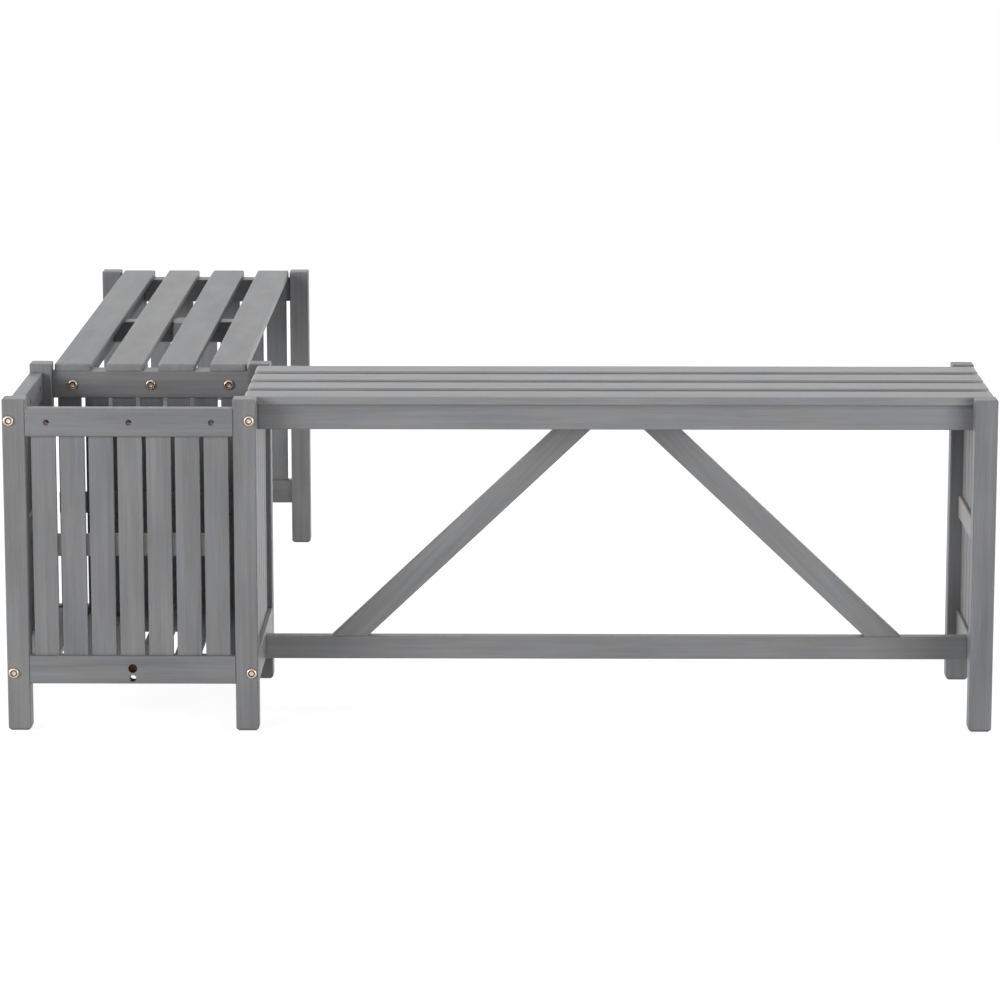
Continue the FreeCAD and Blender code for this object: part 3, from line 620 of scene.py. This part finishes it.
def bolt_mesh(bm, shank):
    """A button-head bolt with a hexagon socket in a countersunk mouth. Its head lies on Z = 0 and
    rises along +Z. The mouth and the socket's walls take the second material."""
    size = sizes()
    radius, height, flats = size.head_radius, size.head_height, size.socket_width
    rim = size.mouth_radius + LIP
    # Each ring's radius, height, width across flats, and the material of the faces up to it.
    outline = [(size.shank_radius, 0, 0, 0), (radius - UNDERCUT, 0, 0, 0)]
    for degrees in range(0, 91, CROWN_STEP):
        turn = math.radians(degrees)
        outline.append((rim + (radius - rim) * math.cos(turn),
                        SKIRT + (height - SKIRT) * math.sin(turn), 0, 0))
    floor = height - size.socket_depth
    outline += [
        (size.mouth_radius, height, 0, 0),
        (0, height - size.mouth_depth, flats, 1),
        (0, floor, flats, 1),
        (0, floor - DRILL_POINT, flats * DRILL_SHARE, 0),
    ]
    made = bmesh.ops.create_circle(bm, segments=ROUND, radius=1.0, cap_ends=True)["verts"]
    to_ring(made, size.shank_radius, -shank)
    edges = bm.edges[:]
    for ring_radius, ring_height, ring_flats, look in outline:
        made = bmesh.ops.extrude_edge_only(bm, edges=edges)["geom"]
        to_ring([item for item in made if isinstance(item, bmesh.types.BMVert)],
                ring_radius, ring_height, ring_flats)
        for item in made:
            if isinstance(item, bmesh.types.BMFace):
                item.material_index = look
        edges = [item for item in made
                 if isinstance(item, bmesh.types.BMEdge) and item.is_boundary]
    bmesh.ops.edgeloop_fill(bm, edges=edges)


def make_bolts(name, replaced, places, shank):
    """Bolts at places, each a point on the wood's face and the direction that its head faces."""
    bm = bmesh.new()
    for point, facing in places:
        one = bmesh.new()
        bolt_mesh(one, shank)
        turn = facing.to_track_quat("Z", "Y").to_matrix().to_4x4()
        stop = Matrix.Rotation(point.dot(STOPPED_AT), 4, "Z")
        bmesh.ops.transform(one, matrix=Matrix.Translation(point) @ turn @ stop, verts=one.verts)
        held = bpy.data.meshes.new("bolt")
        one.to_mesh(held)
        one.free()
        bm.from_mesh(held)
        bpy.data.meshes.remove(held)
    bmesh.ops.recalc_face_normals(bm, faces=bm.faces)
    mesh = bpy.data.meshes.new(name)
    bm.to_mesh(mesh)
    bm.free()
    mesh.shade_smooth()
    mesh.set_sharp_from_angle(angle=SHARP_FROM)
    mesh.materials.append(bpy.data.materials.get("tumbled_brass_plating") or plated_brass())
    # The second material is painted shade for the socket and its mouth.
    mesh.materials.append(bpy.data.materials.get("brass_recess_painted_shade") or recess_painted_shade())
    piece = bpy.data.objects.new(name, mesh)
    bpy.context.scene.collection.objects.link(piece)
    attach(piece, "root")
    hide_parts(replaced)


def bolts_into_benches(rail, height, steps):
    """Places for bolts through one rail of each panel that carries a bench, at steps along it."""
    places = []
    for near, far, run, side in BENCH_ENDS:
        for panel, facing in ((near, -run), (far, run)):
            low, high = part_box("%s_%s" % (panel, rail))
            face = (low + high) / 2 + facing * (high - low).dot(run) / 2
            for step in steps:
                spot = face + side * step * sizes().bolt_spacing
                places.append((Vector((spot.x, spot.y, height)), facing))
    return places


class BENCH_OT_corner_bolts(bpy.types.Operator):
    """Makes the eight bolts through the planter's posts"""

    bl_idname = "corner_bench.corner_bolts"
    bl_label = "Corner Bolts"

    def execute(self, context):
        size = sizes()
        low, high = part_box("corner_bolts")
        in_by, proud = size.head_radius, size.head_height
        places = [(Vector((x, y, z)), facing)
                  for x in (low.x + in_by, high.x - in_by)
                  for z in (low.z + in_by, high.z - in_by)
                  for y, facing in ((low.y + proud, -Y), (high.y - proud, Y))]
        make_bolts("corner_bolt_set", "corner_bolts", places, size.corner_shank)
        return {"FINISHED"}


class BENCH_OT_bench_bolts(bpy.types.Operator):
    """Makes the three bolts through each top rail that carries a bench"""

    bl_idname = "corner_bench.bench_bolts"
    bl_label = "Bench Bolts"

    def execute(self, context):
        low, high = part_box("bench_bolts")
        places = bolts_into_benches("top_rail", (low.z + high.z) / 2, (-1, 0, 1))
        make_bolts("bench_bolt_set", "bench_bolts", places, sizes().bench_shank)
        return {"FINISHED"}


class BENCH_OT_stretcher_bolts(bpy.types.Operator):
    """Makes the bolt at each end of the low stretchers"""

    bl_idname = "corner_bench.stretcher_bolts"
    bl_label = "Stretcher Bolts"

    def execute(self, context):
        low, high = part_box("stretcher_bolts")
        places = bolts_into_benches("bottom_rail", (low.z + high.z) / 2, (0,))
        make_bolts("stretcher_bolt_set", "stretcher_bolts", places, sizes().bench_shank)
        return {"FINISHED"}


# Stage

FLOOR_REACH = 30.0
# The floor's glow goes from the first strength to white between these distances from the middle.
GLOW_START, GLOW_WHITE, GLOW_UNDER_BENCH = 0.9, 2.2, 0.89
# Light from all round on the bench, where the white that the camera sees is 1.
AIR = 0.03
# Name, place, the point that it faces, width and depth in metres, and power in watts.
SOFTBOXES = (
    ("overhead_softbox", (0.25, 0.75, 2.9), (0.0, 0.0, 0.2), 2.4, 1.8, 34),
    ("front_left_softbox", (-2.6, -2.9, 1.2), (0.0, -0.3, 0.2), 1.6, 1.2, 48),
    ("front_right_softbox", (2.6, -2.9, 1.2), (0.0, -0.3, 0.2), 1.6, 1.2, 10),
    ("low_left_softbox", (-1.4, -3.0, 0.6), (0.0, -0.4, 0.2), 1.4, 0.8, 8),
    ("low_right_softbox", (1.6, -3.0, 0.6), (0.0, -0.4, 0.2), 1.4, 0.8, 22),
    ("left_softbox", (-3.4, 0.2, 0.8), (0.0, 0.2, 0.2), 1.6, 1.2, 45),
    ("right_softbox", (3.4, 0.2, 0.8), (0.0, 0.2, 0.2), 1.6, 1.2, 45),
    ("back_left_softbox", (-2.6, 2.9, 1.2), (0.0, 0.3, 0.2), 1.6, 1.2, 22),
    ("back_right_softbox", (2.6, 2.9, 1.2), (0.0, 0.3, 0.2), 1.6, 1.2, 22),
)
# The camera as solved from the photograph's edges: focal length in pixels of an image this wide,
# place, tilt down from level and turn to the left, in radians.
IMAGE_WIDTH, FOCAL_PIXELS = 1000, 4083.28
CAMERA_PLACE = (0.03757, -5.31078, 1.17563)
CAMERA_TILT, CAMERA_TURN = 0.18719, 0.00819


def seen_directly(tree):
    """1 for what the camera, a reflection or clear glass shows."""
    rays = add(tree, "ShaderNodeLightPath").outputs
    first = add(tree, "ShaderNodeMath", {0: rays["Is Camera Ray"], 1: rays["Is Glossy Ray"]},
                operation="MAXIMUM")
    return add(tree, "ShaderNodeMath", {0: first, 1: rays["Is Transmission Ray"]},
               operation="MAXIMUM")


def paper_floor():
    """The studio floor's matt paper: the camera sees it white, with a soft trace of a shadow."""
    material, tree = new_material("matt_paper_sweep")
    place = add(tree, "ShaderNodeTexCoord").outputs["Object"]
    away = add(tree, "ShaderNodeVectorMath", {0: place}, operation="LENGTH")
    glow = add(tree, "ShaderNodeMapRange", {
        "Value": away, "From Min": GLOW_START, "From Max": GLOW_WHITE, "To Min": GLOW_UNDER_BENCH,
        "To Max": 1.0})
    paper = add(tree, "ShaderNodeBsdfDiffuse", {"Color": colours().floor})
    light = add(tree, "ShaderNodeEmission", {"Color": (1, 1, 1, 1), "Strength": glow})
    white = add(tree, "ShaderNodeAddShader", {0: paper, 1: light})
    plain = add(tree, "ShaderNodeBsdfDiffuse", {"Color": colours().floor_bounce})
    both = add(tree, "ShaderNodeMixShader", {0: seen_directly(tree), 1: plain, 2: white})
    add(tree, "ShaderNodeOutputMaterial", {"Surface": both})
    return material


def softbox(name, place, target, width, depth, power):
    """A large light behind white cloth that faces a point."""
    light = bpy.data.lights.new(name, "AREA")
    light.shape = "RECTANGLE"
    light.size, light.size_y, light.energy = width, depth, power
    lamp = bpy.data.objects.new(name, light)
    lamp.location = place
    lamp.rotation_euler = (Vector(target) - Vector(place)).to_track_quat("-Z", "Y").to_euler()
    bpy.context.scene.collection.objects.link(lamp)


class BENCH_OT_stage(bpy.types.Operator):
    """Sets the white floor, the studio light and the camera"""

    bl_idname = "corner_bench.stage"
    bl_label = "Studio"

    def execute(self, context):
        scene = bpy.context.scene
        scene.view_settings.view_transform = "Standard"

        bm = bmesh.new()
        bmesh.ops.create_grid(bm, x_segments=1, y_segments=1, size=FLOOR_REACH)
        mesh = bpy.data.meshes.new("studio_floor")
        bm.to_mesh(mesh)
        bm.free()
        floor = bpy.data.objects.new("studio_floor", mesh)
        scene.collection.objects.link(floor)
        dress(floor, paper_floor())

        world = bpy.data.worlds.new("studio_air")
        scene.world = world
        world.use_nodes = True
        tree = world.node_tree
        tree.nodes.clear()
        level = add(tree, "ShaderNodeMapRange", {
            "Value": seen_directly(tree), "To Min": AIR, "To Max": 1.0})
        air = add(tree, "ShaderNodeBackground", {"Color": (1, 1, 1, 1), "Strength": level})
        add(tree, "ShaderNodeOutputWorld", {"Surface": air})
        for row in SOFTBOXES:
            softbox(*row)

        camera = bpy.data.cameras.new("photograph_view")
        camera.sensor_width = 36.0
        camera.lens = FOCAL_PIXELS * camera.sensor_width / IMAGE_WIDTH
        eye = bpy.data.objects.new("photograph_view", camera)
        eye.location = CAMERA_PLACE
        eye.rotation_euler = (math.pi / 2 - CAMERA_TILT, 0.0, CAMERA_TURN)
        scene.collection.objects.link(eye)
        scene.camera = eye
        return {"FINISHED"}


class BENCH_PT_panel(bpy.types.Panel):
    """Lists the pieces to finish, and their sizes and colours"""

    bl_idname = "BENCH_PT_panel"
    bl_label = "Corner Bench"
    bl_space_type = "VIEW_3D"
    bl_region_type = "UI"
    bl_category = "Bench"

    def draw(self, context):
        for operator in OPERATORS:
            self.layout.operator(operator.bl_idname)
        for group in (context.scene.bench_sizes, context.scene.bench_colours):
            box = self.layout.box()
            for name in group.__annotations__:
                box.prop(group, name)


OPERATORS = (
    BENCH_OT_posts, BENCH_OT_panels, BENCH_OT_planter_floor, BENCH_OT_seats, BENCH_OT_frames,
    BENCH_OT_braces, BENCH_OT_fixings, BENCH_OT_corner_bolts, BENCH_OT_bench_bolts,
    BENCH_OT_stretcher_bolts, BENCH_OT_stage,
)
CLASSES = (BenchSizes, BenchColours, *OPERATORS, BENCH_PT_panel)


def register():
    for cls in CLASSES:
        bpy.utils.register_class(cls)
    bpy.types.Scene.bench_sizes = bpy.props.PointerProperty(type=BenchSizes)
    bpy.types.Scene.bench_colours = bpy.props.PointerProperty(type=BenchColours)


def unregister():
    del bpy.types.Scene.bench_colours
    del bpy.types.Scene.bench_sizes
    for cls in reversed(CLASSES):
        bpy.utils.unregister_class(cls)


def main():
    """Finishes every piece in turn."""
    register()
    for operator in OPERATORS:
        group, name = operator.bl_idname.split(".")
        getattr(getattr(bpy.ops, group), name)()
    bpy.context.view_layer.update()


if __name__ == "__main__":
    main()
